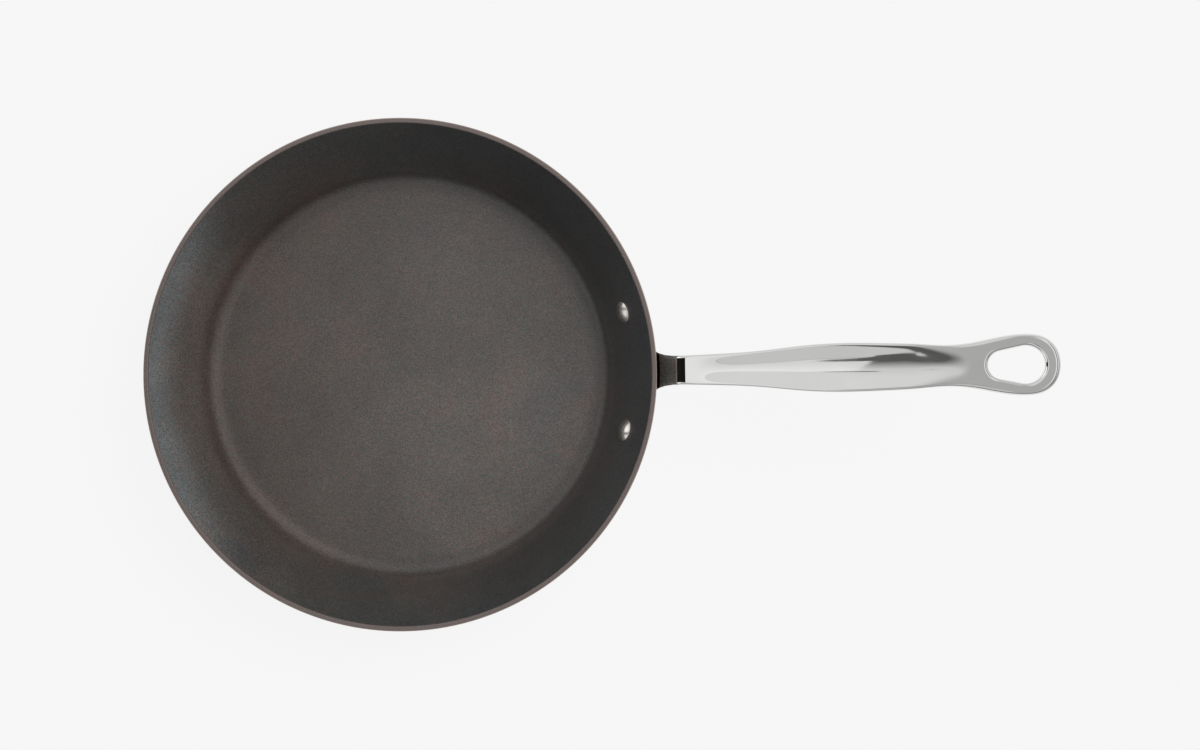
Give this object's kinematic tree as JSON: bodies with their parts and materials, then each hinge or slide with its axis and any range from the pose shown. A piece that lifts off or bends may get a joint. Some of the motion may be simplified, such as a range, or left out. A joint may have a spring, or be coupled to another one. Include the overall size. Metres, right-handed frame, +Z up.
{
  "type": "omelette pan",
  "caption": "Round flared omelette pan of dark pressed sheet steel with a polished cast handle riveted to its wall, ending in a loop with a hanging hole.",
  "frame": {"origin": "centre of the flat underside, on the surface that the pan stands on", "axes": "+X from the pan's centre along the handle, +Z up, out of the open top; the part is mirrored about the XZ plane"},
  "size_m": [0.4565, 0.2592, 0.0881],
  "materials": {
    "seasoned_steel": "satin",
    "polished_steel": "polished",
    "rivet_steel": "satin"
  },
  "bodies": {
    "root": {"pan_body": "seasoned_steel", "handle": "polished_steel", "rivet_left": "rivet_steel", "rivet_right": "rivet_steel"}
  },
  "joints": []
}
